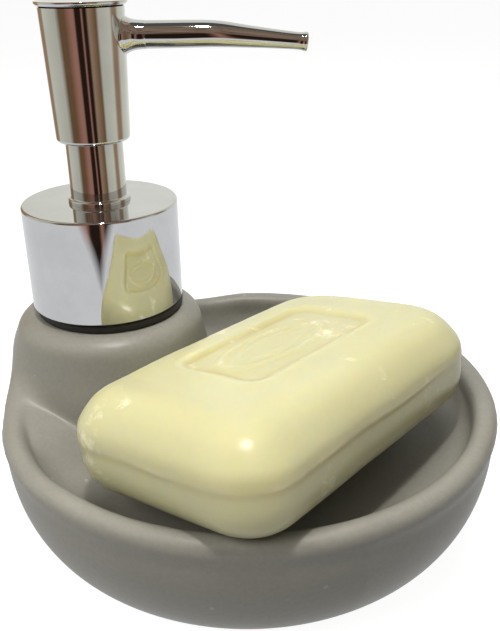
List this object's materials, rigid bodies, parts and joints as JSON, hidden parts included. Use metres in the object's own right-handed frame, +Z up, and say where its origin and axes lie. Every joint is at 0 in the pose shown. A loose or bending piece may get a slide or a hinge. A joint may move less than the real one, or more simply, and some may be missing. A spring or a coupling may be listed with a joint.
{
  "type": "soap pump caddy",
  "caption": "Round stoneware soap dish with a hollow body and a chromed press pump at its rim, with a bar of soap in the dish.",
  "frame": {"origin": "centre of the round foot, on the surface that the dish stands on", "axes": "+Z up along the axis of the dish, +X the way the spout points, +Y away from the user"},
  "size_m": [0.127, 0.1287, 0.1292],
  "materials": {
    "stoneware": "matte taupe glaze",
    "rubber": "moulded",
    "inner_plastic": "moulded",
    "chrome": "mirror plated",
    "steel": "drawn",
    "soap": "milled soap"
  },
  "bodies": {
    "base": {"vessel": "stoneware", "neck_seal": "rubber", "seal_sleeve": "rubber", "neck_insert": "inner_plastic"},
    "pump": {"housing_gasket": "rubber", "pump_housing": "inner_plastic", "chaplet": "inner_plastic", "dip_tube": "inner_plastic", "return_spring": "steel"},
    "collar": {"collar_shell": "chrome", "collar_core": "inner_plastic", "neck_sleeve": "chrome"},
    "plunger": {"piston_seal": "inner_plastic", "piston_stem": "inner_plastic"},
    "head": {"head_shell": "chrome", "head_core": "inner_plastic", "head_cap": "chrome", "spout_tube": "chrome", "spout_liner": "inner_plastic"},
    "inlet_valve": {"inlet_ball": "steel"},
    "outlet_valve": {"outlet_ball": "steel"},
    "soap": {"soap_bar": "soap"}
  },
  "joints": [
    {"name": "pump_lift", "type": "slide", "parent": "base", "child": "pump", "axis": [0, 0, 1], "range_m": [0, 0.0063]},
    {"name": "collar_turn", "type": "hinge", "parent": "pump", "child": "collar", "pos_m": [-0.0369, 0.0132, 0.07], "axis": [0, 0, 1], "range_deg": [0, 540]},
    {"name": "pump_press", "type": "slide", "parent": "pump", "child": "plunger", "axis": [0, 0, -1], "range_m": [0, 0.011], "stiffness_N_per_m": 600, "springref_m": -0.005, "deforming": ["return_spring"]},
    {"name": "head_swivel", "type": "hinge", "parent": "plunger", "child": "head", "pos_m": [-0.0369, 0.0132, 0.11], "axis": [0, 0, 1], "continuous": true},
    {"name": "inlet_lift", "type": "slide", "parent": "pump", "child": "inlet_valve", "axis": [0, 0, 1], "range_m": [0, 0.001]},
    {"name": "outlet_lift", "type": "slide", "parent": "plunger", "child": "outlet_valve", "axis": [0, 0, 1], "range_m": [0, 0.001]},
    {"name": "soap_lift", "type": "slide", "parent": "base", "child": "soap", "axis": [0, 0, 1], "range_m": [0, 0.05]}
  ],
  "couplings": [
    {"joint": "pump_lift", "follows": "collar_turn", "m_per_rad": 0.00066845}
  ]
}
